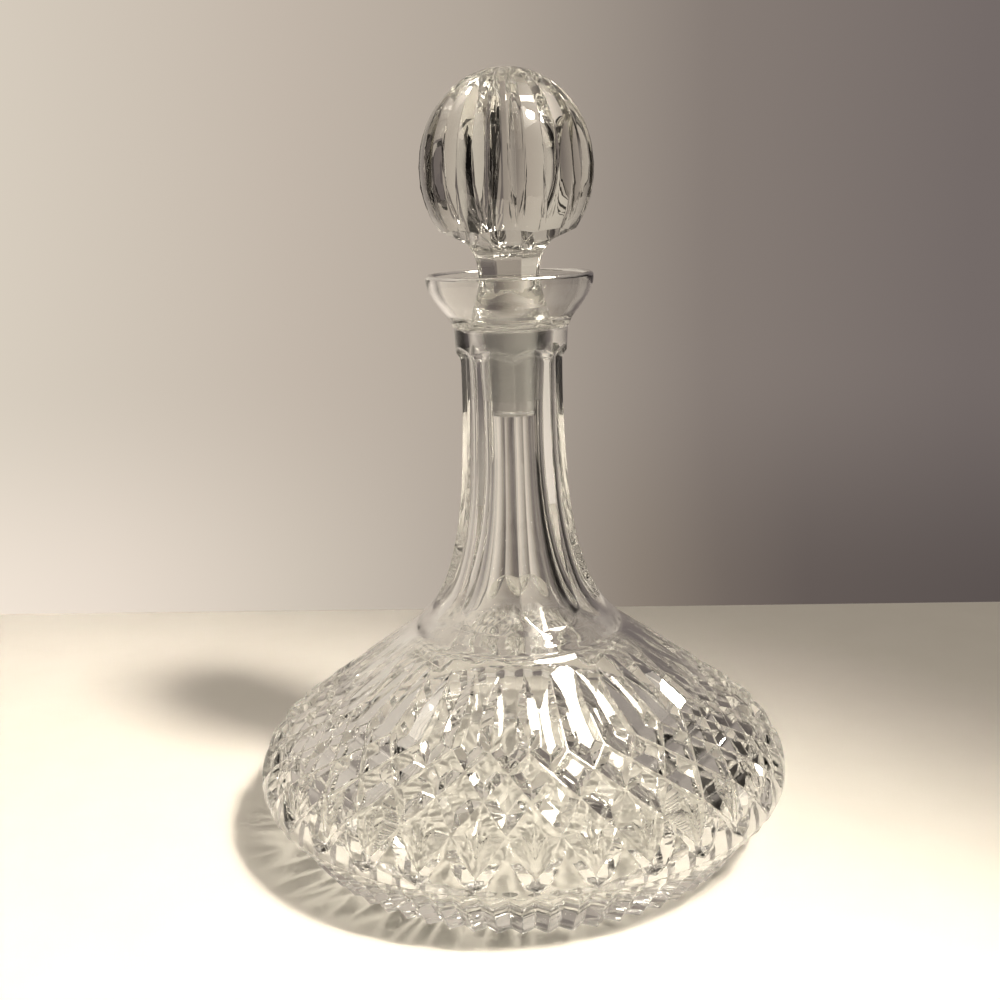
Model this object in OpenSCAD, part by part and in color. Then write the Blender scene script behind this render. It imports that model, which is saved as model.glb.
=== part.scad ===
// Ships decanter in cut lead crystal: a wide low bowl with a long fluted neck,
// and a solid cut ball stopper that seats in the ground mouth of the neck.
// The z axis is the turning axis of the bowl, and the underside of the base lies at z = 0.

/* [Bowl] */
// widest diameter of the bowl, over the uncut glass
bowl_d = 178; // [150:1:200]
// height of the widest ring above the table
bowl_z = 22; // [18:0.5:26]
// diameter of the flat base, over the tips of the base mitres
base_d = 148; // [120:1:160]
// rounding of the bowl above the widest ring
bulge_up = 18.5; // [14:0.5:22]
// rounding of the bowl below the widest ring
bulge_low = 8; // [5:0.5:10]
// slope of the straight shoulder, in degrees from the table
shoulder_slope = 36; // [34:0.1:38]
// diameter at which the shoulder starts to flare up into the neck
flare_d = 72; // [60:1:80]
// thickness of the shoulder wall
wall = 5.2; // [4.6:0.1:6]
// thickness of the glass at the widest ring
bulge_wall = 8; // [7:0.1:10]
// thickness of the base at its edge
base_t = 9; // [7:0.1:12]
// rise of the floor inside, in the middle
floor_rise = 2; // [1:0.1:4]
// width of the polished ring that the base stands on, inside the base mitres
rest_w = 5; // [4:0.5:10]
// depth of the shallow hollow inside that ring
hollow_h = 1.2; // [0.5:0.1:2]

/* [Neck] */
// narrowest diameter of the neck, over the ridges between the flutes
neck_d = 33; // [31:0.1:36]
// height of the narrowest part of the neck
neck_z = 150; // [140:1:156]
// depth of a flute below the ridges
flute_depth = 1.9; // [1:0.1:2.5]
// number of flutes around the neck, a divisor of the pattern count
flutes = 8; // [4, 8, 16]
// height of the lower edge of the plain collar above the flutes
collar_z = 163; // [160:0.5:165]
// diameter of the plain collar
collar_d = 36.2; // [35.4:0.1:39]
// height of the top of the collar, where the mouth opens out
mouth_z = 170; // [168:0.5:172]
// diameter of the rim
rim_d = 53.6; // [50:0.1:58]
// height of the rim
rim_z = 187; // [184:0.5:190]
// thickness of the glass at the rim
rim_t = 2.6; // [2:0.1:3.2]

/* [Cutting] */
// number of diamonds around the bowl, a multiple of the flute count
pattern = 32; // [16, 32, 48]
// depth of the diamond mitres
mitre_depth = 2.4; // [1.2:0.1:2.8]
// share of a diamond that stays uncut
diamond_flat = 0.44; // [0.3:0.01:0.5]
// depth of the leaf cuts above the diamonds
leaf_depth = 2.3; // [1.2:0.1:2.8]
// half width of a leaf cut, as a share of its pitch
leaf_width = 0.34; // [0.25:0.01:0.4]
// depth of the base mitres
base_mitre_depth = 3.4; // [2:0.1:4]

/* [Stopper] */
// diameter of the ball over its ridges
ball_d = 54.8; // [46:0.1:62]
// height of the ball from its middle to its top
ball_h = 30.6; // [26:0.1:34]
// height of the middle of the ball above the table, when seated
ball_z = 219; // [216:0.5:224]
// number of mitre cuts around the ball
ball_cuts = 16; // [8, 12, 16, 24]
// depth of the ball mitres at the middle
ball_cut_depth = 3.8; // [2:0.1:4.5]
// width of the eight-sided stem across its flats
stem_w = 19.2; // [18:0.1:22]
// larger diameter of the ground peg, at the mouth of the seat
peg_d = 17.7; // [16:0.1:18.5]
// smaller diameter of the ground peg, at its lower end
peg_tip_d = 14.7; // [12:0.1:15.5]
// length of the ground peg
peg_l = 29; // [24:0.5:34]
// diameter of the clear swell above the peg, which stands in the mouth
plug_d = 25.1; // [22:0.1:27]
// room between the peg and the ground seat, on the radius
seat_clearance = 0.18; // [0.12:0.01:0.25]

/* [Hidden] */
$fn = 96;

// outer line of the bowl, from the base up to the start of the flare
bowl_r = bowl_d / 2;
base_r = base_d / 2;
arc_up_x = bowl_r - bulge_up;
arc_low_x = bowl_r - bulge_low;
up_end = 90 - shoulder_slope;
shoulder_r0 = arc_up_x + bulge_up * cos(up_end);
shoulder_z0 = bowl_z + bulge_up * sin(up_end);
flare_r = flare_d / 2;
flare_z = shoulder_z0 + (shoulder_r0 - flare_r) * tan(shoulder_slope);

// the flank below the widest ring is tangent to the lower rounding and ends on the base edge
flank_reach = norm([arc_low_x - base_r, bowl_z]);
flank_turn = atan2(bowl_z, arc_low_x - base_r);
low_a = 180 - flank_turn - acos(bulge_low / flank_reach);
flank_r = arc_low_x + bulge_low * cos(low_a);
flank_z = bowl_z - bulge_low * sin(low_a);

// radius and outward direction of the uncut surface at height z, below the flare
function env(z) =
    z < flank_z ? [base_r + (flank_r - base_r) * z / flank_z, cos(low_a), -sin(low_a)] :
    z < bowl_z ? arc_env(arc_low_x, bulge_low, z) :
    z < shoulder_z0 ? arc_env(arc_up_x, bulge_up, z) :
    [shoulder_r0 - (z - shoulder_z0) / tan(shoulder_slope), sin(shoulder_slope), cos(shoulder_slope)];
function arc_env(x, rad, z) =
    let (s = (z - bowl_z) / rad, c = sqrt(max(0, 1 - s * s))) [x + rad * c, c, s];

// a point of the bowl at angle a and height z, sunk by depth d square to the surface
function pt(a, z, d = 0) =
    let (e = env(z), r = e[0] - d * e[1]) [r * cos(a), r * sin(a), z - d * e[2]];
// a point at angle a, radius r and height z
function rp(a, r, z) = [r * cos(a), r * sin(a), z];
// a cubic curve through its end points p and s, pulled by q and r
function bez(p, q, r, s, t) =
    p * pow(1 - t, 3) + q * 3 * t * pow(1 - t, 2) + r * 3 * t * t * (1 - t) + s * pow(t, 3);
function mix(a, b, t) = a + (b - a) * t;
function smooth(t) = let (x = min(1, max(0, t))) x * x * (3 - 2 * x);

// line of the ridges from the shoulder up to the narrowest part of the neck
neck_r = neck_d / 2;
flare_pull = flare_r / 2;
neck_pull = (neck_z - flare_z) * 0.63;
function neck_line(t) = bez(
    [flare_r, flare_z],
    [flare_r - flare_pull * cos(shoulder_slope), flare_z + flare_pull * sin(shoulder_slope)],
    [neck_r, neck_z - neck_pull],
    [neck_r, neck_z], t);

// rings of the neck from the collar down to the flare: radius, height and flute depth
root_r = collar_d / 2 - 1;
neck_rings = concat(
    [[root_r - 0.4, collar_z + 2, 0], [root_r, collar_z, 0]],
    [for (s = [0.25, 0.6, 1])
        [mix(root_r, neck_r, s), mix(collar_z, neck_z, s * 0.7), flute_depth * smooth(s * 1.1)]],
    [for (i = [12:-1:0]) let (t = i / 12, p = neck_line(t))
        [p[0], p[1], flute_depth * smooth((t - 0.1) / 0.4)]]);
rings = len(neck_rings);

// the cross section of a flute is a shallow hollow between two ridges
flute_span = 360 / flutes;
function flute_r(a, ring) =
    let (x = abs(a / flute_span - round(a / flute_span)) * 2,
        chord = cos(flute_span / 2) / cos(flute_span / 2 * (1 - x)))
    ring[0] * mix(1, chord, min(1, ring[2] / flute_depth)) - max(0, ring[2]) * x * (2 - x) * 0.55;

// heights of the pattern rows on the shoulder, from the leaf tips to the band
step = 360 / pattern;
rise = flare_z - bowl_z;
tip_z = bowl_z + rise * 0.925;
leaf_hi_z = bowl_z + rise * 0.86;
leaf_z = bowl_z + rise * 0.78;
a_z = bowl_z + rise * 0.622;
b_z = bowl_z + rise * 0.541;
c_z = bowl_z + rise * 0.434;
d_z = bowl_z + rise * 0.299;
e_z = bowl_z + rise * 0.085;
band_z = bowl_z + rise * 0.01;
band_low_z = bowl_z - bulge_low * 0.4;
mitre_z = bowl_z * 0.62;
cut_share = 1 - diamond_flat;
land_z = b_z + cut_share * 1.15 * (a_z - b_z);
knee_z = a_z + 0.09 * (a_z - b_z);
sill_z = d_z - cut_share * 0.7 * (d_z - e_z);
fan_depth = mitre_depth * 0.6;
hollow_r = base_r - base_mitre_depth - rest_w;
// the polished ring and the start of the hollow, at angle a
function foot(a) = [rp(a, hollow_r, 0), rp(a, hollow_r * 0.8, hollow_h * 0.8)];

// one column of the pattern, points on its middle line
function mid_points(a) = concat(
    [for (ring = neck_rings) rp(a, flute_r(a, ring), ring[1])],
    [pt(a, tip_z), pt(a, leaf_hi_z, leaf_depth * 0.6), pt(a, leaf_z, leaf_depth),
     pt(a, a_z, mitre_depth), pt(a, mix(b_z, a_z, diamond_flat)), pt(a, mix(b_z, c_z, diamond_flat)),
     pt(a, c_z, mitre_depth), pt(a, mix(d_z, c_z, diamond_flat)),
     pt(a, mix(d_z, e_z, diamond_flat), fan_depth), pt(a, e_z, mitre_depth),
     pt(a, band_z), pt(a, band_low_z),
     rp(a, env(mitre_z)[0] - base_mitre_depth, mitre_z), rp(a, base_r - base_mitre_depth, 0)],
    foot(a));
// points between the middle line and the side line, to one side of the middle
function half_points(a, s) = let (w = s * step) concat([
    pt(a + w * leaf_width * 0.62, leaf_hi_z), pt(a + w * leaf_width, leaf_z),
    pt(a + w * 0.5 * cut_share, knee_z), pt(a + w * 0.5 * diamond_flat, b_z),
    pt(a + w * 0.5 * cut_share, c_z), pt(a + w * 0.5 * diamond_flat, d_z),
    pt(a + w * 0.2 * diamond_flat, mix(d_z, e_z, 0.16)), pt(a + w * 0.2, mix(band_z, e_z, 0.6)),
    pt(a + w * 0.25, band_z), pt(a + w * 0.25, band_low_z), rp(a + w * 0.25, env(mitre_z)[0], mitre_z),
    rp(a + w * 0.25, base_r, 0)],
    foot(a + w * 0.25));
// points on the side line, half a step on
function side_points(a) = concat(
    [for (ring = neck_rings) rp(a, flute_r(a, ring), ring[1])],
    [pt(a, land_z), pt(a, b_z, mitre_depth), pt(a, mix(c_z, b_z, diamond_flat)),
     pt(a, mix(c_z, d_z, diamond_flat)), pt(a, d_z, mitre_depth), pt(a, sill_z),
     pt(a, mix(band_z, sill_z, 0.5)), pt(a, band_z), pt(a, band_low_z),
     rp(a, env(mitre_z)[0] - base_mitre_depth, mitre_z), rp(a, base_r - base_mitre_depth, 0)],
    foot(a));

mids = rings + 16;
halves = 14;
sides = rings + 13;
per_column = mids + 2 * halves + sides;
column_points = concat(
    [for (k = [0:pattern - 1]) let (a = k * step)
        each concat(mid_points(a), half_points(a, 1), half_points(a, -1), side_points(a + step / 2))],
    [[0, 0, hollow_h]]);

// short names for the points of half a column: m on the middle line, h between, s on the side line,
// and the middle of the underside
function m(i) = i;
function h(i) = 100 + i;
function s(i) = 200 + i;
under = 300;
function point_id(k, side, code) =
    code < 100 ? k * per_column + code :
    code < 200 ? k * per_column + mids + (side > 0 ? 0 : halves) + code - 100 :
    code < 300 ? (side > 0 ? k : (k + pattern - 1) % pattern) * per_column + mids + 2 * halves + code - 200 :
    pattern * per_column;

// triangles of half a column, from the collar down to the base and in under it
last = rings - 1;
half_faces = concat(
    [for (j = [0:rings - 2]) each [[m(j + 1), s(j + 1), s(j)], [m(j + 1), s(j), m(j)]]],
    [[m(last + 1), s(last), m(last)], [m(last + 1), h(0), s(last)], [h(0), h(1), s(last)],
     [h(1), s(rings), s(last)], [h(1), h(2), s(rings)],
     [m(last + 1), m(last + 2), h(0)], [m(last + 2), m(last + 3), h(1)], [m(last + 2), h(1), h(0)],
     [m(last + 3), m(last + 4), h(2)], [m(last + 3), h(2), h(1)],
     [m(last + 4), s(rings + 1), s(rings)], [m(last + 4), s(rings), h(2)],
     [m(last + 4), m(last + 5), h(3)], [m(last + 4), h(3), s(rings + 1)],
     [m(last + 5), m(last + 6), h(3)],
     [m(last + 6), m(last + 7), h(3)], [h(3), m(last + 7), s(rings + 1)],
     [s(rings + 1), m(last + 7), h(4)], [s(rings + 1), h(4), s(rings + 2)],
     [s(rings + 2), h(4), s(rings + 3)],
     [h(4), m(last + 7), s(rings + 4)], [h(4), s(rings + 4), s(rings + 3)],
     [m(last + 7), m(last + 8), h(5)], [m(last + 7), h(5), s(rings + 4)],
     [m(last + 8), h(6), h(5)], [m(last + 8), m(last + 9), h(6)], [h(6), m(last + 9), h(5)],
     [m(last + 9), m(last + 10), h(5)], [h(5), m(last + 10), s(rings + 4)],
     [s(rings + 4), m(last + 10), h(7)], [s(rings + 4), h(7), s(rings + 5)],
     [m(last + 10), m(last + 11), h(7)],
     [h(7), m(last + 11), h(8)], [h(7), h(8), s(rings + 6)], [h(7), s(rings + 6), s(rings + 5)],
     [h(8), s(rings + 7), s(rings + 6)]],
    [for (i = [0:4]) each [
        [m(last + 12 + i), h(9 + i), h(8 + i)], [m(last + 12 + i), h(8 + i), m(last + 11 + i)],
        [h(9 + i), s(rings + 8 + i), s(rings + 7 + i)], [h(9 + i), s(rings + 7 + i), h(8 + i)]]],
    [[under, h(13), m(last + 16)], [under, s(rings + 12), h(13)]]);
skin = [for (k = [0:pattern - 1]) for (side = [1, -1]) for (f = half_faces)
    let (ids = [for (code = f) point_id(k, side, code)])
    side > 0 ? [ids[2], ids[1], ids[0]] : ids];
top_face = [for (k = [pattern - 1:-1:0]) each [point_id(k, 1, s(0)), point_id(k, 1, m(0))]];

// ground seat, mouth and inside of the bowl
peg_r = peg_d / 2;
peg_tip_r = peg_tip_d / 2;
peg_z = mouth_z + 1;
tip_low = peg_z - peg_l;
// radius of the seat at height z, clear of the peg all the way
function seat_at(z) = mix(peg_tip_r, peg_r, (z - tip_low) / peg_l) + seat_clearance;
seat_z = mouth_z + 0.3;
seat_r = seat_at(seat_z);
seat_low_z = mix(peg_z, tip_low, 0.83);
bore_r = seat_at(seat_low_z);
rim_r = rim_d / 2;
collar_r = collar_d / 2;

// the mouth is a thin cup with a narrow shelf around the seat
mouth_r = rim_r - rim_t;
cup_r = collar_r - 3;
mouth_inner = concat(
    [[collar_r * 0.69, mouth_z + 0.8]],
    [for (i = [0:6]) bez([cup_r, mouth_z + 1.7], [cup_r + 1.9, mouth_z + 4.2],
        [mouth_r - 0.4, mix(mouth_z, rim_z, 0.58)], [mouth_r, rim_z - 1.6], i / 6)],
    [[mouth_r, rim_z + 5]]);

in_slope = [-cos(shoulder_slope), sin(shoulder_slope)];
in_arc = bulge_up - bulge_wall + 3;
in_x = bowl_r - bulge_wall - in_arc;
// the inner rounding is lifted so that the shoulder keeps its wall
lift_reach = bulge_up - in_arc - wall + sin(shoulder_slope) * (bulge_wall + in_arc - bulge_up);
in_z = bowl_z + lift_reach / cos(shoulder_slope);
in_line0 = [in_x + in_arc * cos(up_end), in_z + in_arc * sin(up_end)];
in_flare_r = flare_r * 0.62;
in_flare = in_line0 + in_slope * (in_line0[0] - in_flare_r) / cos(shoulder_slope);
in_top = [bore_r, in_flare[1] + 50];
cavity_line = concat(
    [[0, base_t + floor_rise], [in_x * 0.2, base_t + floor_rise], [in_x, base_t]],
    [for (i = [1:4]) [in_x + in_arc * sin(i * 22.5), base_t + (in_z - base_t) * (1 - cos(i * 22.5))]],
    [for (i = [1:4]) [in_x + in_arc * cos(i * up_end / 4), in_z + in_arc * sin(i * up_end / 4)]],
    [for (i = [0:6]) bez(in_flare, in_flare + in_slope * 12, in_top - [0, 28], in_top, i / 6)],
    [[bore_r, seat_low_z], [seat_r, seat_z]],
    mouth_inner,
    [[0, rim_z + 5]]);

mouth_line = concat(
    [[0, collar_z], [collar_r, collar_z], [collar_r, mouth_z]],
    [for (i = [1:6]) bez([collar_r, mouth_z], [collar_r + 0.6, mouth_z + 4],
        [rim_r, mix(mouth_z, rim_z, 0.5)], [rim_r, rim_z - 2], i / 6)],
    [[rim_r, rim_z - 0.7], [rim_r - 0.7, rim_z], [0, rim_z]]);

// the bowl, neck, collar and mouth are one blown piece
module decanter() {
    color("#e4e6e2", 0.55)
    difference() {
        union() {
            polyhedron(points = column_points, faces = concat(skin, [top_face]), convexity = 8);
            rotate_extrude() polygon(mouth_line);
        }
        rotate_extrude() polygon(cavity_line);
    }
}

// heights of the ball rings and the depth of its mitres
ball_r = ball_d / 2;
ball_step = 360 / ball_cuts;
ball_low = -0.595 * ball_h;
ball_tip = -0.50 * ball_h;
ball_split = -0.22 * ball_h;
ball_shares = [-0.02, 0.18, 0.37, 0.54, 0.69, 0.81, 0.9, 0.96];
ball_levels = concat([ball_split], [for (s = ball_shares) s * ball_h]);
function ball_env(z) = ball_r * sqrt(max(0, 1 - pow(z / ball_h, 2)));
function ball_cut(z) = ball_cut_depth * min(1, 1.12 * sqrt(max(0, (z - ball_tip) / (0 - ball_tip))))
    * (z > 0 ? sqrt(max(0, 1 - pow(z / ball_h, 2))) : 1);
levels = len(ball_levels);
ball_points = concat(
    [for (k = [0:ball_cuts - 1]) let (v = k * ball_step, e = v + ball_step / 2) each concat(
        [for (z = ball_levels) rp(v, ball_env(z) - ball_cut(z), z)],
        [rp(v, ball_env(ball_tip), ball_tip), rp(v, ball_env(ball_low), ball_low)],
        [for (z = ball_levels) rp(e, ball_env(z), z)],
        [rp(e, ball_env(ball_low), ball_low)])],
    [[0, 0, ball_h * 0.955]]);
ball_column = 2 * levels + 3;
function ball_id(k, i) = ((k + ball_cuts) % ball_cuts) * ball_column + i;
// triangles on one side of a mitre: v on its root, e on the ridge beside it
function ball_half(k, ek) = concat(
    [for (j = [0:levels - 2]) each [
        [ball_id(k, j), ball_id(ek, levels + 2 + j), ball_id(ek, levels + 3 + j)],
        [ball_id(k, j), ball_id(ek, levels + 3 + j), ball_id(k, j + 1)]]],
    [[ball_id(k, levels), ball_id(ek, levels + 2), ball_id(k, 0)],
     [ball_id(k, levels + 1), ball_id(ek, 2 * levels + 2), ball_id(ek, levels + 2)],
     [ball_id(k, levels + 1), ball_id(ek, levels + 2), ball_id(k, levels)],
     [ball_id(k, levels - 1), ball_id(ek, 2 * levels + 1), ball_cuts * ball_column]]);
ball_skin = concat(
    [for (k = [0:ball_cuts - 1]) for (f = ball_half(k, k)) [f[2], f[1], f[0]]],
    [for (k = [0:ball_cuts - 1]) for (f = ball_half(k, k - 1)) f],
    [[for (k = [0:ball_cuts - 1]) each [ball_id(k, levels + 1), ball_id(k, 2 * levels + 2)]]]);

ball_foot_z = ball_z + ball_low;
ball_foot_r = ball_env(ball_low) * cos(ball_step / 4);
stem_r = stem_w / 2 / cos(22.5);
stem_low_z = peg_z + 10.5;
stem_turn = 22.5;
stem_in_r = stem_w / 2;
plug_r = plug_d / 2;
plug_low_z = peg_z + 0.25;

// the stem sweeps out in a hollow curve under the ball
sweep_line = [for (i = [0:6]) bez([stem_in_r * 0.99, ball_foot_z - 13], [stem_in_r, ball_foot_z - 5],
    [stem_in_r + 3.5, ball_foot_z - 3.2], [ball_foot_r * 0.97, ball_foot_z - 0.01], i / 6)];
// the plug swells above the ground peg and draws in to the stem
plug_line = [[peg_r, peg_z], [mix(peg_r, plug_r, 0.4), plug_low_z], [plug_r - 0.4, peg_z + 1.2],
    [plug_r, peg_z + 2.4], [plug_r - 0.1, peg_z + 3.8], [mix(stem_in_r, plug_r, 0.6), peg_z + 7],
    [stem_in_r + 0.6, stem_low_z - 0.3], [stem_in_r - 0.2, stem_low_z + 1]];

// the ball, stem and peg are one solid piece of glass
module stopper() {
    color("#eceeec", 0.55)
    union() {
        translate([0, 0, ball_z]) polyhedron(points = ball_points, faces = ball_skin, convexity = 6);
        rotate_extrude() polygon(concat([[0, ball_foot_z - 13]], sweep_line,
            [[ball_foot_r * 0.97, ball_foot_z + 1], [0, ball_foot_z + 1]]));
        rotate([0, 0, stem_turn]) translate([0, 0, stem_low_z])
            cylinder(r = stem_r, h = ball_foot_z - 4 - stem_low_z, $fn = 8);
        rotate_extrude() polygon(concat([[0, tip_low], [peg_tip_r - 0.6, tip_low],
            [peg_tip_r, tip_low + 0.6]], plug_line, [[0, stem_low_z + 1]]));
    }
}

decanter();
stopper();
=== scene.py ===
import bpy
import bmesh
import math
import numpy as np
from mathutils import Matrix, Quaternion, Vector


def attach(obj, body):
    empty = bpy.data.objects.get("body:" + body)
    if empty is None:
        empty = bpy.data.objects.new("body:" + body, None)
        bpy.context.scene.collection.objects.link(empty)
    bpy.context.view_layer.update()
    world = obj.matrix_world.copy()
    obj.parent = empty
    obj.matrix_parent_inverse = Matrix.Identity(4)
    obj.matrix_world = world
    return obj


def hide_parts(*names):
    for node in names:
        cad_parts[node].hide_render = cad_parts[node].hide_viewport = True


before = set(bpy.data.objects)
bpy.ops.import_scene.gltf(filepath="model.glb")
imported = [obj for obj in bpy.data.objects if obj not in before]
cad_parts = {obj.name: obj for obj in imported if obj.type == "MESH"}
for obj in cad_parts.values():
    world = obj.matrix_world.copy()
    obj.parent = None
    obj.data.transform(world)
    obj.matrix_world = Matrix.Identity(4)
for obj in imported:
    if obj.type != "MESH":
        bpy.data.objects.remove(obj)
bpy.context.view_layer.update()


# Decanter: bowl, neck and flared mouth blown as one piece of lead crystal. The diamonds, leaves,
# base mitres and neck flutes are cut into the cold glass with stone wheels and then acid polished,
# and the mouth is ground to a tapered seat for the stopper. Sizes are in millimetres.
bowl_r, bowl_z, base_r = 89.0, 22.0, 74.3
bulge_up, bulge_low, shoulder_slope = 18.5, 8.0, math.radians(36.0)
flank_z, flare_z = 15.0, 70.0
diamonds, flutes = 32, 8
step = 360.0 / diamonds
pattern_turn = 1.15

arc_x = bowl_r - bulge_up
arc_end = math.pi / 2 - shoulder_slope
shoulder_r = arc_x + bulge_up * math.cos(arc_end)
shoulder_z = bowl_z + bulge_up * math.sin(arc_end)
flank_c = math.sqrt(1 - ((flank_z - bowl_z) / bulge_low) ** 2)
flank_r = bowl_r - bulge_low + bulge_low * flank_c
flank_lean = math.atan2(flank_r - base_r, flank_z)


def bowl_line(z):
    """Radius of the uncut bowl at height z, and the direction square to its wall."""
    z = np.asarray(z, float)
    up = (z - bowl_z) / bulge_up
    low = (z - bowl_z) / bulge_low
    up_c = np.sqrt(np.clip(1 - up ** 2, 0, 1))
    low_c = np.sqrt(np.clip(1 - low ** 2, 0, 1))
    flank = base_r + (flank_r - base_r) * z / flank_z
    under = bowl_r - bulge_low + bulge_low * low_c
    over = arc_x + bulge_up * up_c
    shoulder = shoulder_r - (z - shoulder_z) / math.tan(shoulder_slope)
    parts = [z < flank_z, z < bowl_z, z < shoulder_z]
    r = np.select(parts, [flank, under, over], shoulder)
    out = np.select(parts, [math.cos(flank_lean), low_c, up_c], math.sin(shoulder_slope))
    rise = np.select(parts, [-math.sin(flank_lean), low, up], math.cos(shoulder_slope))
    return r, out, rise


def around(degrees, r, z):
    """Points at an angle from the front, a radius and a height."""
    a = np.radians(degrees)
    return np.stack(np.broadcast_arrays(r * np.sin(a), -r * np.cos(a), z), -1)


def between(a, b, t):
    """The value at share t of the way from a to b."""
    return a + (b - a) * t


def smooth_line(points):
    """A smooth curve r(z) through a few measured points (z, r)."""
    zs, rs = np.array(points, float).T
    lean = np.gradient(rs, zs)

    def line(z):
        z = np.clip(z, zs[0], zs[-1])
        i = np.clip(np.searchsorted(zs, z) - 1, 0, len(zs) - 2)
        h = zs[i + 1] - zs[i]
        t = (z - zs[i]) / h
        return ((1 + 2 * t) * (1 - t) ** 2 * rs[i] + t * (1 - t) ** 2 * h * lean[i]
                + t * t * (3 - 2 * t) * rs[i + 1] + t * t * (t - 1) * h * lean[i + 1])
    return line


class Glass:
    """Collects the surfaces of one piece of glass and joins them into a closed mesh."""
    cut_edge = math.radians(9)  # an edge that turns more than this was left by a wheel
    weld = 4e-6  # metres within which the points of neighbouring surfaces are one

    def __init__(self):
        self.points, self.faces, self.finish, self.count = [], [], [], 0

    def add(self, points, faces, finish=0):
        """A surface with its faces by point number; finish 0 is polished and 1 is ground."""
        self.points.append(np.asarray(points, float).reshape(-1, 3))
        self.faces += [tuple(int(i) + self.count for i in f) for f in faces]
        self.finish += [finish] * len(faces)
        self.count += len(self.points[-1])

    def rings(self, rows, finish=0):
        """A skin through rings of points; a ring may have half the points of the one before it, or one."""
        for lower, upper in zip(rows[:-1], rows[1:]):
            n, m = len(lower), len(upper)
            if m == n:
                faces = [(k, (k + 1) % n, n + (k + 1) % n, n + k) for k in range(n)]
            elif m == 1:
                faces = [(k, (k + 1) % n, n) for k in range(n)]
            else:
                faces = []
                for k in range(0, n, 2):
                    here = n + k // 2
                    next_one = n + (k // 2 + 1) % m
                    faces += [(k, k + 1, here), (k + 1, (k + 2) % n, next_one), (k + 1, next_one, here)]
            self.add(np.concatenate([lower, upper]), faces, finish)

    def mesh(self, name, polish):
        """One closed mesh in metres; its cut edges stay crisp but for what the acid polish takes off."""
        data = bpy.data.meshes.new(name)
        data.from_pydata((np.concatenate(self.points) * 0.001).tolist(), [], self.faces)
        data.polygons.foreach_set("material_index", self.finish)
        work = bmesh.new()
        work.from_mesh(data)
        bmesh.ops.remove_doubles(work, verts=work.verts, dist=self.weld)
        bmesh.ops.recalc_face_normals(work, faces=work.faces)
        edges = [e for e in work.edges if e.is_manifold and e.calc_face_angle() > self.cut_edge]
        bmesh.ops.bevel(work, geom=edges, offset=polish * 0.001, offset_type="OFFSET", segments=1,
                        profile=0.5, affect="EDGES", clamp_overlap=False)
        work.to_mesh(data)
        work.free()
        data.shade_smooth()
        data.set_sharp_from_angle(angle=self.cut_edge)
        piece = bpy.data.objects.new(name, data)
        bpy.context.scene.collection.objects.link(piece)
        return piece


# cut pattern of half a diamond column, from the middle line (share 0) to the side line (share 0.5).
# Each corner is a share of the step, a height on the uncut bowl, and a depth square to the wall.
row_a, row_b, row_c, row_d, row_e = 52.0, 47.8, 42.7, 36.3, 25.4
band, band_low = 22.4, 20.4
diamond_flat, diamond_cut, fan_cut = 0.45, 2.4, 1.6
sill = between(row_d, row_e, 0.42)
leaf_a = row_a + 0.35
corner = {
    "top_mid": (0, flare_z, 0),
    "top_half": (0.25, flare_z, 0),
    "top_side": (0.5, flare_z, 0),
    "a": (0, row_a, diamond_cut),
    "land": (0.5, between(row_b, row_a, 0.69), 0),
    "b_top": (0, between(row_b, row_a, diamond_flat), 0),
    "b_side": (0.5 * diamond_flat, row_b, 0),
    "b": (0.5, row_b, diamond_cut),
    "b_low": (0, between(row_b, row_c, diamond_flat), 0),
    "c_top": (0.5, between(row_c, row_b, diamond_flat), 0),
    "c": (0, row_c, diamond_cut),
    "c_side": (0.5 - 0.5 * diamond_flat, row_c, 0),
    "c_low": (0.5, between(row_c, row_d, diamond_flat), 0),
    "d_top": (0, between(row_d, row_c, diamond_flat), 0),
    "d_side": (0.5 * diamond_flat, row_d, 0),
    "d": (0.5, row_d, diamond_cut),
    "fan_side": (0.08, between(row_d, row_e, 0.16), 0),
    "fan": (0, between(row_d, row_e, diamond_flat), fan_cut),
    "sill": (0.5, sill, 0),
    "sill_low": (0.5, between(band, sill, 0.5), 0),
    "e": (0, row_e, diamond_cut),
    "foot": (0.2, between(band, row_e, 0.6), 0),
    "band_mid": (0, band, 0),
    "band_half": (0.25, band, 0),
    "band_side": (0.5, band, 0),
}

# a leaf above each diamond: height, half width as a share of the step, and depth of its root
leaf = [(66.5, 0.0, 0.0), (65.0, 0.11, 0.8), (63.0, 0.21, 1.5), (60.8, 0.285, 2.0), (58.2, 0.33, 2.3),
        (55.2, 0.33, 2.3), (leaf_a, 0.30, 2.2)]
last = len(leaf) - 1
for i, (z, wide, deep) in enumerate(leaf):
    corner["root%d" % i] = (0, z, deep)
    corner["edge%d" % i] = (wide, z, 0)
    corner["side%d" % i] = (0.5, z, 0)
corner["root%d" % last] = corner["a"]
corner["side%d" % last] = corner["land"]

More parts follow.
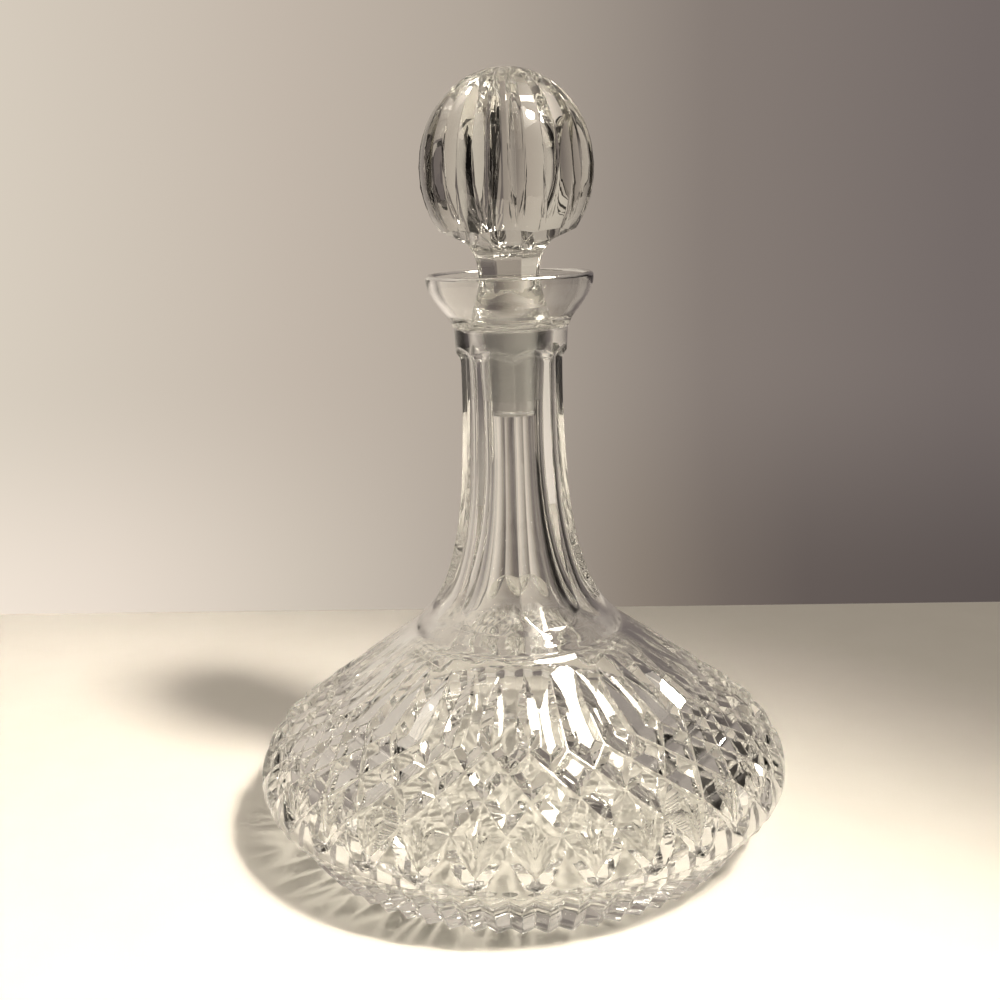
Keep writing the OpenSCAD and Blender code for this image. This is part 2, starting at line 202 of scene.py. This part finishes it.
facets = [
    ("top_mid", "root0", "top_half"), ("top_half", "root0", "side0"), ("top_half", "side0", "top_side"),
    ("root0", "root1", "edge1"), ("root0", "edge1", "side1", "side0")]
for i in range(1, last):
    facets.append(("root%d" % i, "root%d" % (i + 1), "edge%d" % (i + 1), "edge%d" % i))
for i in range(1, last):
    facets.append(("edge%d" % i, "edge%d" % (i + 1), "side%d" % (i + 1), "side%d" % i))
facets += [
    ("a", "b", "land", "edge%d" % last), ("a", "b_top", "b_side", "b"), ("b_top", "b_low", "b_side"),
    ("b_low", "c", "b", "b_side"), ("c", "c_side", "c_top", "b"), ("c_side", "c_low", "c_top"),
    ("c_side", "c", "d", "c_low"), ("c", "d_top", "d_side", "d"), ("d_top", "fan_side", "d_side"),
    ("d_top", "fan", "fan_side"), ("fan_side", "fan", "d_side"), ("fan", "e", "d_side"),
    ("d_side", "e", "d"), ("d", "e", "foot", "sill"), ("e", "band_mid", "foot"),
    ("foot", "band_mid", "band_half"), ("foot", "band_half", "sill_low"), ("foot", "sill_low", "sill"),
    ("sill_low", "band_half", "band_side")]
facet_rows = 3


def facet_points(corners, n):
    """A facet of the cutting in n rows, so that it follows the round of the bowl: points and faces."""
    c = np.array(corners, float)
    if len(c) == 3:
        ij = [(i, j) for i in range(n + 1) for j in range(n + 1 - i)]
        ids = {p: k for k, p in enumerate(ij)}
        pts = np.array([(c[0] * (n - i - j) + c[1] * i + c[2] * j) / n for i, j in ij])
        faces = [(ids[i, j], ids[i + 1, j], ids[i, j + 1]) for i, j in ij if i + j < n]
        faces += [(ids[i + 1, j], ids[i + 1, j + 1], ids[i, j + 1]) for i, j in ij if i + j < n - 1]
        return pts, faces
    t = np.linspace(0, 1, n + 1)
    u, v = np.meshgrid(t, t, indexing="ij")
    u, v = u[..., None], v[..., None]
    pts = (c[0] * (1 - u) + c[1] * u) * (1 - v) + (c[3] * (1 - u) + c[2] * u) * v
    m = n + 1
    corner_ids = [i * m + j for i in range(n) for j in range(n)]
    faces = [(k, k + m, k + m + 1, k + 1) for k in corner_ids]
    return pts.reshape(-1, 3), faces


decanter_glass = Glass()
for names in facets:
    pts, faces = facet_points([corner[name] for name in names], facet_rows)
    share, height, deep = pts.T
    r, out, rise = bowl_line(height)
    for k in range(diamonds):
        for hand in (1, -1):
            angle = (k + hand * share) * step + pattern_turn
            decanter_glass.add(around(angle, r - deep * out, height - deep * rise), faces)

# plain band under the widest ring, two base mitres to a diamond, and the underside with its hollow.
# The columns meet the points of the facets above: four facets side by side in each diamond.
base_mitre = 3.0
columns = diamonds * 4 * facet_rows
turn = np.arange(columns) * 360.0 / columns + pattern_turn
root = np.abs((np.arange(columns) % (2 * facet_rows)) / facet_rows - 1)  # 1 on a mitre root, 0 on a ridge
base_rows = [around(turn, bowl_line(z)[0], z) for z in (band, 21.7, 21.0, band_low)]
for z in (19.5, 17.5, 15.0, 12.0, 9.0, 6.0, 3.0, 0.0):
    base_rows.append(around(turn, bowl_line(z)[0] - base_mitre * root, z))
half_turn = turn[::2]
underside = [(66.0, 0.0), (62.0, 0.5), (52.0, 0.9), (26.0, 1.2), (8.0, 1.3)]
base_rows += [around(half_turn, r, z) for r, z in underside]
base_rows.append(np.array([[0, 0, underside[-1][1]]]))
decanter_glass.rings(base_rows)

# neck with eight flat flutes: round-ended below on the shoulder, arched above under the collar
neck_line = smooth_line([
    (62, 47.0), (67, 40.2), (72, 34.4), (78, 28.9), (84, 25.3), (92, 22.3), (100, 20.3), (112, 18.3),
    (128, 17.1), (146, 16.45), (158, 16.45), (166, 16.6)])
flute_low, flute_ridge_low = 75.7, 82.0
arch_top, arch_cusp, arch_rise = 164.3, 162.0, 3.2
arch_r, collar_r, collar_z = 17.9, 18.1, 165.4
shoulder_ease = 3.0
flute_half = math.radians(180.0 / flutes)
across = np.abs((((turn - pattern_turn) / (360.0 / flutes)) % 1.0) * 2 - 1)  # 0 mid flute, 1 on a ridge
flute_end = between(flute_low, flute_ridge_low, across ** 2)
arch = between(arch_top, arch_cusp, across ** 2)


def blank(z):
    """The shoulder's straight wall eased into the neck."""
    t = np.clip((z - flare_z) / shoulder_ease, 0, 1)
    return between(bowl_line(z)[0], neck_line(z), t * t * (3 - 2 * t))


neck_rows = []
for t in np.linspace(0, 1, 7):
    z = between(flare_z, flute_end, t)
    neck_rows.append(around(turn, blank(z), z))
low_end, high_end = 0.12, 0.93  # shares of a flute between which its rows may be wide apart
low_rows = np.linspace(0, low_end, 12)[1:]
long_rows = np.linspace(low_end, high_end, 34)[1:]
high_rows = np.linspace(high_end, 1, 12)[1:]
for t in np.concatenate([low_rows, long_rows, high_rows]):
    z = between(flute_end, arch, t)
    deep = (1 - math.cos(flute_half)) * neck_line(z)
    begun = np.clip((z - flute_low) / (flute_ridge_low - flute_low), 0, 1)
    r = blank(z) - deep * np.maximum(0, begun - across ** 2)
    lift = np.clip((z - arch + arch_rise) / arch_rise, 0, 1)
    neck_rows.append(around(turn, between(r, arch_r, lift ** 2), z))
for t in np.linspace(0, 1, 5)[1:]:
    neck_rows.append(around(turn, between(arch_r, collar_r, t), between(arch, collar_z, t)))
decanter_glass.rings(neck_rows)

# collar, flared mouth with its rounded rim, cup inside it and ground seat
lip_z, rim_z = 170.1, 185.9
rim_r, rim_half, rim_rise = 25.45, 1.3, 1.15
seat_r, seat_z, seat_foot_r, seat_foot_z = 9.0, 170.3, 7.75, 147.0
collar = [(18.2, 168.0), (18.25, 169.4), (18.45, lip_z)]
lip_line = smooth_line([(lip_z, 18.5), (172.9, 19.9), (176.9, 23.0), (180.8, 25.5), (184.6, 26.7),
                        (rim_z, rim_r + rim_half)])
lip = [(lip_line(z), z) for z in np.linspace(lip_z, rim_z, 22)[1:]]
rim_angles = np.radians(np.linspace(0, 180, 13))[1:]
rim = [(rim_r + rim_half * math.cos(a), rim_z + rim_rise * math.sin(a)) for a in rim_angles]
cup = [(24.05, 185.2), (23.75, 184.0), (22.95, 182.0), (21.8, 180.0), (20.35, 178.0), (18.75, 176.0),
       (17.2, 174.0), (16.0, 172.6), (15.1, 171.7), (13.9, 171.1), (12.4, 170.85), (10.4, 170.8),
       (9.25, 170.7), (seat_r, seat_z)]
mouth_rows = [around(turn, collar_r, collar_z)]
mouth_rows += [around(half_turn, r, z) for r, z in collar + lip + rim + cup]
decanter_glass.rings(mouth_rows)
seat_rows = []
for t in np.linspace(0, 1, 8):
    seat_rows.append(around(half_turn, between(seat_r, seat_foot_r, t), between(seat_z, seat_foot_z, t)))
decanter_glass.rings(seat_rows, finish=1)

# inside of the bore and bowl, free-blown and smooth
in_arc, in_wall, bulge_wall = 13.5, 5.2, 8.0
bore_r, bore_z, flare_r = 7.7, 128.0, 24.0
floor_side, floor_mid = 9.0, 11.0
in_x = bowl_r - bulge_wall - in_arc
in_lean = math.sin(shoulder_slope) * (bulge_wall + in_arc - bulge_up)
in_z = bowl_z + (bulge_up - in_arc - in_wall + in_lean) / math.cos(shoulder_slope)
in_foot_r = in_x + in_arc * math.cos(arc_end)
in_foot_z = in_z + in_arc * math.sin(arc_end)
in_flare_z = in_foot_z + (in_foot_r - flare_r) * math.tan(shoulder_slope)
bore_line = smooth_line([
    (in_flare_z, flare_r), (76.0, 20.6), (80.0, 17.6), (85.0, 15.0), (91.0, 12.9), (98.0, 11.1),
    (106.0, 9.6), (116.0, 8.4), (bore_z, bore_r), (seat_foot_z, seat_foot_r)])
inside = [(bore_line(z), z) for z in np.linspace(seat_foot_z, bore_z, 6)]
inside += [(bore_line(z), z) for z in np.linspace(bore_z, in_flare_z, 32)[1:]]
for t in np.linspace(0, 1, 9)[1:]:
    inside.append((between(flare_r, in_foot_r, t), between(in_flare_z, in_foot_z, t)))
for a in np.linspace(arc_end, 0, 9)[1:]:
    inside.append((in_x + in_arc * math.cos(a), in_z + in_arc * math.sin(a)))
for a in np.linspace(0, math.pi / 2, 11)[1:]:
    inside.append((in_x + in_arc * math.cos(a), in_z - (in_z - floor_side) * math.sin(a)))
inside += [(52.0, 9.4), (34.0, 10.2), (16.0, 10.8), (5.0, floor_mid)]
inside_rows = [around(half_turn, r, z) for r, z in inside]
inside_rows.append(np.array([[0, 0, floor_mid]]))
decanter_glass.rings(inside_rows)
decanter = decanter_glass.mesh("cut_glass_decanter", polish=0.28)


def linear(code):
    """sRGB hex to linear colour."""
    parts = [int(code[i:i + 2], 16) / 255 for i in (1, 3, 5)]
    return tuple(c / 12.92 if c <= 0.04045 else ((c + 0.055) / 1.055) ** 2.4 for c in parts) + (1.0,)


def node(tree, kind, settings=None, **links):
    """Adds a node, sets its properties and colour stops, and sets or links its inputs by name or number."""
    made = tree.nodes.new(kind)
    for key, value in (settings or {}).items():
        if key != "stops":
            setattr(made, key, value)
            continue
        ends = made.color_ramp.elements
        for end, (position, code) in zip((ends[0], ends[1]), (value[0], value[-1])):
            end.position = position
            end.color = linear(code)
        for position, code in value[1:-1]:
            ends.new(position).color = linear(code)
    for key, value in links.items():
        numbered = key[0] == "i" and key[1:].isdigit()
        socket = made.inputs[int(key[1:]) if numbered else key.replace("_", " ")]
        if isinstance(value, bpy.types.NodeSocket):
            tree.links.new(value, socket)
        else:
            socket.default_value = value
    return made


def new_material(name):
    """An empty material and its node tree."""
    material = bpy.data.materials.new(name)
    material.use_nodes = True
    material.node_tree.nodes.clear()
    return material, material.node_tree


# lead crystal, wheel-cut and acid polished: colourless and very clear, with crisp bright edges and a
# faint unevenness of the polish some 6 mm across
crystal_ior = 1.545
polish_wave = 6.25


def crystal(name, colour):
    """Polished lead crystal of a given tint."""
    material, tree = new_material(name)
    where = node(tree, "ShaderNodeTexCoord")
    wave = node(tree, "ShaderNodeTexNoise", Vector=where.outputs["Object"], Scale=1000 / polish_wave,
                Detail=2.0, Roughness=0.5)
    bump = node(tree, "ShaderNodeBump", Strength=0.02, Distance=0.0004, Height=wave.outputs["Fac"])
    haze = node(tree, "ShaderNodeMapRange", Value=wave.outputs["Fac"], To_Min=0.0, To_Max=0.02)
    glass = node(tree, "ShaderNodeBsdfPrincipled", Base_Color=linear(colour), Roughness=haze.outputs[0],
                 IOR=crystal_ior, Transmission_Weight=1.0, Normal=bump.outputs[0])
    node(tree, "ShaderNodeOutputMaterial", Surface=glass.outputs[0])
    return material


polished = crystal("polished_lead_crystal", "#fefefd")

# the same glass ground with fine grit: grey and soft, grain drawn at half a millimetre so that it shows
grit_size = 0.5
ground, tree = new_material("ground_lead_crystal")
where = node(tree, "ShaderNodeTexCoord")
grit = node(tree, "ShaderNodeTexNoise", Vector=where.outputs["Object"], Scale=1000 / grit_size,
            Detail=3.0, Roughness=0.6)
bump = node(tree, "ShaderNodeBump", Strength=0.08, Distance=0.0002, Height=grit.outputs["Fac"])
frost = node(tree, "ShaderNodeMapRange", Value=grit.outputs["Fac"], To_Min=0.16, To_Max=0.32)
glass = node(tree, "ShaderNodeBsdfPrincipled", Base_Color=linear("#f4f5f3"), Roughness=frost.outputs[0],
             IOR=crystal_ior, Transmission_Weight=1.0, Normal=bump.outputs[0])
node(tree, "ShaderNodeOutputMaterial", Surface=glass.outputs[0])

decanter.data.materials.append(polished)
decanter.data.materials.append(ground)
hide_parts("decanter")
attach(decanter, "decanter")


# Stopper: one solid piece of lead crystal. Sixteen mitres run from a star on top of the ball to points
# below it, the stem is cut to eight flats that sweep out under the ball, and the peg is ground to the seat.
ball_wide, ball_tall, ball_z = 27.4, 30.5, 219.0
ball_mitres, mitre_share, mitre_slope = 16, 0.5, 8.4
mitre_tip, mitre_full = 203.0, 225.0
stem_flats = 8
ball_turn, stem_turn = 6.0, -2.3
peg_r, peg_z, plug_r, plug_z = 7.35, 142.6, 8.85, 171.0
peg_end_z, stem_z, sweep_z = 142.0, 181.6, 191.5
ring_points = 256
ring = np.arange(ring_points) * 360.0 / ring_points + ball_turn
mitre_step, flat_step = 360.0 / ball_mitres, 360.0 / stem_flats
off = np.abs((((ring - ball_turn) / mitre_step + 0.5) % 1.0) * 2 - 1)  # 0 on a mitre root, 1 on a ridge
stem_off = np.radians((((ring - stem_turn) / flat_step + 0.5) % 1.0 - 0.5) * flat_step)


def ball_line(z):
    """Radius of the uncut ball at height z."""
    return ball_wide * np.sqrt(np.clip(1 - ((z - ball_z) / ball_tall) ** 2, 0, 1))


# the flats of the stem sweep out in a hollow curve and stop where they meet the ball
stem_line = smooth_line([
    (181.0, 9.55), (184.0, 9.55), (187.0, 9.65), (190.0, 10.0), (192.5, 10.6), (195.0, 11.9),
    (197.3, 14.2), (199.1, 18.0), (200.8, 22.2), (202.4, 26.4)])


def stem_r(z):
    """Radius of the eight-sided stem at height z, all around."""
    return stem_line(z) / np.cos(stem_off)


heights = np.linspace(192.0, 202.3, 400)
clear = np.array([stem_r(z) - ball_line(z) for z in heights])
sweep_end = heights[np.argmax(clear > 0, axis=0)]

stopper_glass = Glass()
peg_end = [(peg_r, peg_z), (7.1, 142.15), (6.6, peg_end_z), (3.0, peg_end_z)]
peg_end_rows = [around(ring, r, z) for r, z in peg_end]
peg_end_rows.append(np.array([[0, 0, peg_end_z]]))
stopper_glass.rings(peg_end_rows)
peg_rows = []
for t in np.linspace(0, 1, 10):
    peg_rows.append(around(ring, between(peg_r, plug_r, t), between(peg_z, plug_z, t)))
stopper_glass.rings(peg_rows, finish=1)

# the swelling that sits in the cup of the mouth, the stem and its sweep
plug = [(plug_r, plug_z), (10.2, 171.25), (11.5, 171.6), (12.25, 172.3), (12.55, 173.4), (12.45, 174.8),
        (12.0, 176.4), (11.4, 178.0), (10.75, 179.7), (10.2, 181.2)]
stem_rows = [around(ring, r, z) for r, z in plug]
stem_rows += [around(ring, stem_r(z), z) for z in np.linspace(stem_z, sweep_z, 8)]
for t in np.linspace(0, 1, 16)[1:-1]:
    z = between(sweep_z, sweep_end, t)
    stem_rows.append(around(ring, stem_r(z), z))
stem_rows.append(around(ring, ball_line(sweep_end), sweep_end))
stopper_glass.rings(stem_rows)

# the ball: plain below the points of the mitres, which widen upwards and meet in a star
point = between(mitre_tip, mitre_full, 1 - np.sqrt(1 - np.minimum(1, off / mitre_share)))
point = np.maximum(point, sweep_end + 0.3)
plain_rows = []
for t in np.linspace(0, 1, 6):
    z = between(sweep_end, point, t)
    plain_rows.append(around(ring, ball_line(z), z))
stopper_glass.rings(plain_rows)
top_z = ball_z + ball_tall
star_edge, star_mid = top_z - 0.25, top_z - 0.6
ball_rows = []
for t in np.linspace(0, 1, 54):
    z = between(point, star_edge, math.sin(t * math.pi / 2))
    r = ball_line(z)
    grown = np.clip((z - mitre_tip) / (mitre_full - mitre_tip), 0, 1)
    wide = mitre_share * (1 - (1 - grown) ** 2)
    slope = mitre_slope * np.minimum(1, r / ball_wide) ** 1.15
    ball_rows.append(around(ring, r - slope * np.maximum(0, wide - off), z))
ball_rows.append(np.array([[0, 0, star_mid]]))
stopper_glass.rings(ball_rows)
stopper = stopper_glass.mesh("cut_glass_stopper", polish=0.12)

# the same polished crystal in a solid lump, tinted greyer than the bowl's: painted shade that dims the
# ball, more than its thickness would give
painted_shade_crystal = crystal("painted_shade_lead_crystal", "#e7e6e2")
stopper.data.materials.append(painted_shade_crystal)
stopper.data.materials.append(ground)
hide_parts("stopper")
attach(stopper, "stopper")


# Tabletop, room, lamps and camera of the picture: a pale matt tabletop that ends behind the decanter,
# a pale wall beyond it and a dim room behind the camera, a shaded and a soft lamp on the right, the
# light that the glass gathers under itself, and a strip light that its cuts mirror. Sizes in metres.
table_side, table_front, table_back_left, table_back_right = 0.62, -0.36, 0.2544, 0.1881
table_corners = [(-table_side, table_front, 0), (table_side, table_front, 0),
                 (table_side, table_back_right, 0), (-table_side, table_back_left, 0)]
table_data = bpy.data.meshes.new("tabletop")
table_data.from_pydata(table_corners, [], [(0, 1, 2, 3)])
table = bpy.data.objects.new("tabletop", table_data)
table.location.z = -0.0002  # just under the base, so that the two faces don't share a plane
bpy.context.scene.collection.objects.link(table)

# painted board: matt and warm white, with a faint mottle 25 mm across
mottle_size = 25.0
board, tree = new_material("pale_matt_tabletop")
where = node(tree, "ShaderNodeTexCoord")
mottle = node(tree, "ShaderNodeTexNoise", Vector=where.outputs["Object"], Scale=1000 / mottle_size,
              Detail=3.0)
tone = node(tree, "ShaderNodeValToRGB", {"stops": [(0.0, "#ebe8e0"), (1.0, "#f2efe8")]},
            Fac=mottle.outputs["Fac"])
matt = node(tree, "ShaderNodeBsdfPrincipled", Base_Color=tone.outputs[0], Roughness=0.75, IOR=1.45)
node(tree, "ShaderNodeOutputMaterial", Surface=matt.outputs[0])
table.data.materials.append(board)

# the room's tones from far left (0) to far right (1): below the tabletop's edge, on the wall, overhead
below = [(0.0, "#171413"), (0.14, "#4a4541"), (0.29, "#f8ebdc"), (0.345, "#ebded0"), (0.42, "#cfc4b6"),
         (0.5, "#aca196"), (0.556, "#8a7f74"), (0.588, "#736962"), (0.62, "#645b57"), (0.69, "#5a5250"),
         (0.75, "#a39a8f"), (0.87, "#9b9187"), (0.95, "#2b2624"), (1.0, "#110e0d")]
wall = [(0.0, "#8a817a"), (0.1, "#bdb2a6"), (0.16, "#cabfb2"), (0.29, "#dcd2c3"), (0.42, "#c3b7aa"),
        (0.5, "#b0a599"), (0.585, "#877d76"), (0.68, "#746b68"), (0.78, "#6c6461"), (0.87, "#1f1b19"),
        (1.0, "#110e0d")]
overhead = [(0.0, "#c9bfb3"), (0.3, "#d3c9bb"), (0.55, "#bcb2a6"), (0.8, "#9c938b"), (1.0, "#8d857d")]
wall_foot, wall_top, dim_behind = (-0.32, -0.12), (0.2, 0.6), (-0.5, 0.0)
dim = 0.025
eased = {"interpolation_type": "SMOOTHSTEP"}
colours = {"data_type": "RGBA"}

world = bpy.data.worlds.new("soft_room")
bpy.context.scene.world = world
world.use_nodes = True
tree = world.node_tree
tree.nodes.clear()
where = node(tree, "ShaderNodeTexCoord")
way = node(tree, "ShaderNodeSeparateXYZ", Vector=where.outputs["Generated"])
side = node(tree, "ShaderNodeMapRange", Value=way.outputs["X"], From_Min=-1.0, From_Max=1.0)
tone = node(tree, "ShaderNodeValToRGB", {"stops": below}, Fac=side.outputs[0]).outputs[0]
for stops, (start, end) in ((wall, wall_foot), (overhead, wall_top)):
    higher = node(tree, "ShaderNodeValToRGB", {"stops": stops}, Fac=side.outputs[0])
    rise = node(tree, "ShaderNodeMapRange", eased, Value=way.outputs["Z"], From_Min=start, From_Max=end)
    blend = node(tree, "ShaderNodeMix", colours, Factor=rise.outputs[0], i6=tone, i7=higher.outputs[0])
    tone = blend.outputs[2]
room = node(tree, "ShaderNodeMapRange", eased, Value=way.outputs["Y"], From_Min=dim_behind[0],
            From_Max=dim_behind[1], To_Min=dim, To_Max=1.0)
glow = node(tree, "ShaderNodeBackground", Color=tone, Strength=room.outputs[0])
node(tree, "ShaderNodeOutputWorld", Surface=glow.outputs[0])


def lamp(name, kind, place, aim, watts, twist=0.0, **settings):
    """A warm white lamp at a place, turned to a point and twisted about its beam."""
    data = bpy.data.lights.new(name, kind)
    data.energy = watts
    data.color = linear("#fff6e6")[:3]
    for key, value in settings.items():
        setattr(data, key, value)
    made = bpy.data.objects.new(name, data)
    bpy.context.scene.collection.objects.link(made)
    made.location = place
    beam = (Vector(aim) - Vector(place)).to_track_quat("-Z", "Y")
    made.rotation_euler = (beam @ Quaternion((0, 0, 1), math.radians(twist))).to_euler()
    return made


# the shaded lamp lights the table up to a soft edge behind the decanter on the right
lamp("shaded_lamp", "SPOT", (0.514, -0.468, 1.078), (-0.4, -0.48, 0), 46.0,
     spot_size=math.radians(67), spot_blend=0.32, shadow_soft_size=0.1)
lamp("soft_lamp", "AREA", (0.35, -0.62, 1.1), (-0.3, -0.35, 0), 1.0, size=0.5, spread=math.radians(66))

# light that the cut glass gathers on the table under itself, in a net of bright threads: two to a
# diamond around the base and 26.5 mm long. Only the table receives it.
gathered_x, gathered_y, gathered_height = -0.006, 0.005, 0.9
thread_long = 26.5
gathered = lamp("gathered_light", "SPOT", (gathered_x, gathered_y, gathered_height),
                (gathered_x, gathered_y, 0), 4.6, spot_size=math.radians(12.4), spot_blend=0.75,
                shadow_soft_size=0.0, use_nodes=True)
tree = gathered.data.node_tree
tree.nodes.clear()
where = node(tree, "ShaderNodeTexCoord")
way = node(tree, "ShaderNodeSeparateXYZ", Vector=where.outputs["Normal"])
turned = node(tree, "ShaderNodeMath", {"operation": "ARCTAN2"}, i0=way.outputs["Y"], i1=way.outputs["X"])
turned = node(tree, "ShaderNodeMath", {"operation": "MULTIPLY"}, i0=turned.outputs[0],
              i1=diamonds / math.pi)
apart = node(tree, "ShaderNodeMath", {"operation": "ABSOLUTE"}, i0=way.outputs["Z"])
apart = node(tree, "ShaderNodeMath", {"operation": "ARCCOSINE"}, i0=apart.outputs[0])
apart = node(tree, "ShaderNodeMath", {"operation": "MULTIPLY"}, i0=apart.outputs[0],
             i1=1000 * gathered_height / thread_long)
spot = node(tree, "ShaderNodeCombineXYZ", X=turned.outputs[0], Y=apart.outputs[0])
net = node(tree, "ShaderNodeTexVoronoi", {"feature": "DISTANCE_TO_EDGE"}, Vector=spot.outputs[0],
           Scale=1.0)
bright = node(tree, "ShaderNodeMapRange", Value=net.outputs["Distance"], From_Min=0.0, From_Max=0.2,
              To_Min=6.4, To_Max=0.08)
threads = node(tree, "ShaderNodeEmission", Strength=bright.outputs[0])
node(tree, "ShaderNodeOutputLight", Surface=threads.outputs[0])
under_the_glass = bpy.data.collections.new("under_the_glass")
under_the_glass.objects.link(table)
gathered.light_linking.receiver_collection = under_the_glass
gathered.light_linking.blocker_collection = under_the_glass

# a long soft light high on the right that the polished cuts mirror; the table doesn't receive it
strip = lamp("strip_light", "AREA", (0.32, -0.068, 0.902), (0, 0, 0.08), 4.4, twist=-49,
             shape="RECTANGLE", size=0.42, size_y=0.1)
mirroring_glass = bpy.data.collections.new("mirroring_glass")
mirroring_glass.objects.link(decanter)
mirroring_glass.objects.link(stopper)
strip.light_linking.receiver_collection = mirroring_glass

# camera a little higher than the rim, looking down at the bowl and rolled slightly
camera_place = Vector((-0.00492, -0.39322, 0.20884))
down, roll = math.radians(12.77), math.radians(-1.74)
camera = bpy.data.objects.new("camera", bpy.data.cameras.new("camera"))
bpy.context.scene.collection.objects.link(camera)
camera.data.sensor_width = 36.0
camera.data.lens = 43.99
camera.data.shift_y = -0.0204
camera.data.clip_start = 0.01
ahead = Vector((0, math.cos(down), -math.sin(down)))
level_right = Vector((1, 0, 0))
level_up = level_right.cross(ahead)
right = level_right * math.cos(roll) + level_up * math.sin(roll)
up = level_up * math.cos(roll) - level_right * math.sin(roll)
camera.matrix_world = Matrix.Translation(camera_place) @ Matrix((right, up, -ahead)).transposed().to_4x4()

scene = bpy.context.scene
scene.camera = camera
scene.view_settings.view_transform = "Standard"
scene.cycles.max_bounces = 32
scene.cycles.transmission_bounces = 28
scene.cycles.glossy_bounces = 12
scene.cycles.diffuse_bounces = 4
scene.cycles.sample_clamp_indirect = 25.0
scene.cycles.blur_glossy = 8.0
scene.cycles.use_denoising = True
